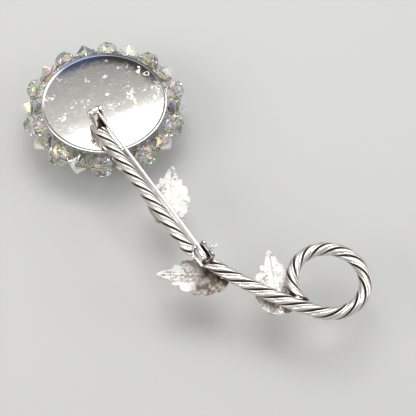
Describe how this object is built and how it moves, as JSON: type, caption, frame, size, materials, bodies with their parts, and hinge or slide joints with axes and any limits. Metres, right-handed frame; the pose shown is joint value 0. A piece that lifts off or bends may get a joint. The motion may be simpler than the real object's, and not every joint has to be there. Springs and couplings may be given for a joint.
{
  "type": "flower brooch",
  "caption": "Brooch with a beaded flower on a round plate, a twisted rope stem ending in a loop, stamped leaves, and a hinged needle with a rotating safety catch.",
  "frame": {"origin": "centre of the back plate's flat outer face", "axes": "+Z out of the back, towards the needle; -Y down the straight stem; +X to the side the loop lies on"},
  "size_m": [0.0492, 0.1084, 0.02],
  "materials": {
    "mirror_plate": "mirror plated, scratched and worn",
    "rope_plate": "bright plated, dark in the grooves",
    "findings_plate": "bright plated, worn",
    "pin_steel": "polished",
    "leaf_plate": "satin plated stamping",
    "brass_wire": "dull",
    "crystal": "faceted, iridescent coating"
  },
  "bodies": {
    "root": {"back_plate": "mirror_plate", "bead_screen": "brass_wire", "outer_bead_01": "crystal", "outer_bead_03": "crystal", "outer_bead_05": "crystal", "outer_bead_07": "crystal", "outer_bead_09": "crystal", "outer_bead_11": "crystal", "outer_bead_13": "crystal", "outer_bead_15": "crystal", "outer_bead_17": "crystal", "outer_bead_19": "crystal", "outer_bicone_02": "crystal", "outer_bicone_04": "crystal", "outer_bicone_06": "crystal", "outer_bicone_08": "crystal", "outer_bicone_10": "crystal", "outer_bicone_12": "crystal", "outer_bicone_14": "crystal", "outer_bicone_16": "crystal", "outer_bicone_18": "crystal", "outer_bicone_20": "crystal", "outer_wire": "brass_wire", "middle_bead_01": "crystal", "middle_bead_02": "crystal", "middle_bead_03": "crystal", "middle_bead_04": "crystal", "middle_bead_05": "crystal", "middle_bead_06": "crystal", "middle_bead_07": "crystal", "middle_bead_08": "crystal", "middle_bead_09": "crystal", "middle_bead_10": "crystal", "middle_bead_11": "crystal", "middle_bead_12": "crystal", "middle_wire": "brass_wire", "inner_bead_01": "crystal", "inner_bead_02": "crystal", "inner_bead_03": "crystal", "inner_bead_04": "crystal", "inner_bead_05": "crystal", "inner_bead_06": "crystal", "inner_wire": "brass_wire", "centre_bead": "crystal", "centre_wire": "brass_wire", "stem_core": "rope_plate", "stem_strand_1": "rope_plate", "stem_strand_2": "rope_plate", "stem_strand_3": "rope_plate", "stem_strand_4": "rope_plate", "hinge_bracket": "findings_plate", "hinge_rivet": "findings_plate", "catch_housing": "findings_plate", "leaf_1": "leaf_plate", "leaf_2": "leaf_plate", "leaf_3": "leaf_plate"},
    "pin": {"pin_needle": "pin_steel"},
    "rotor": {"catch_rotor": "findings_plate"}
  },
  "joints": [
    {"name": "needle_hinge", "type": "hinge", "parent": "root", "child": "pin", "pos_m": [-0.00563, -0.0057, 0.0061], "axis": [-1, 0, 0], "range_deg": [0, 75]},
    {"name": "catch_turn", "type": "hinge", "parent": "root", "child": "rotor", "pos_m": [-0.00515, -0.0555, 0.0061], "axis": [0, -1, 0], "range_deg": [0, 95]}
  ]
}
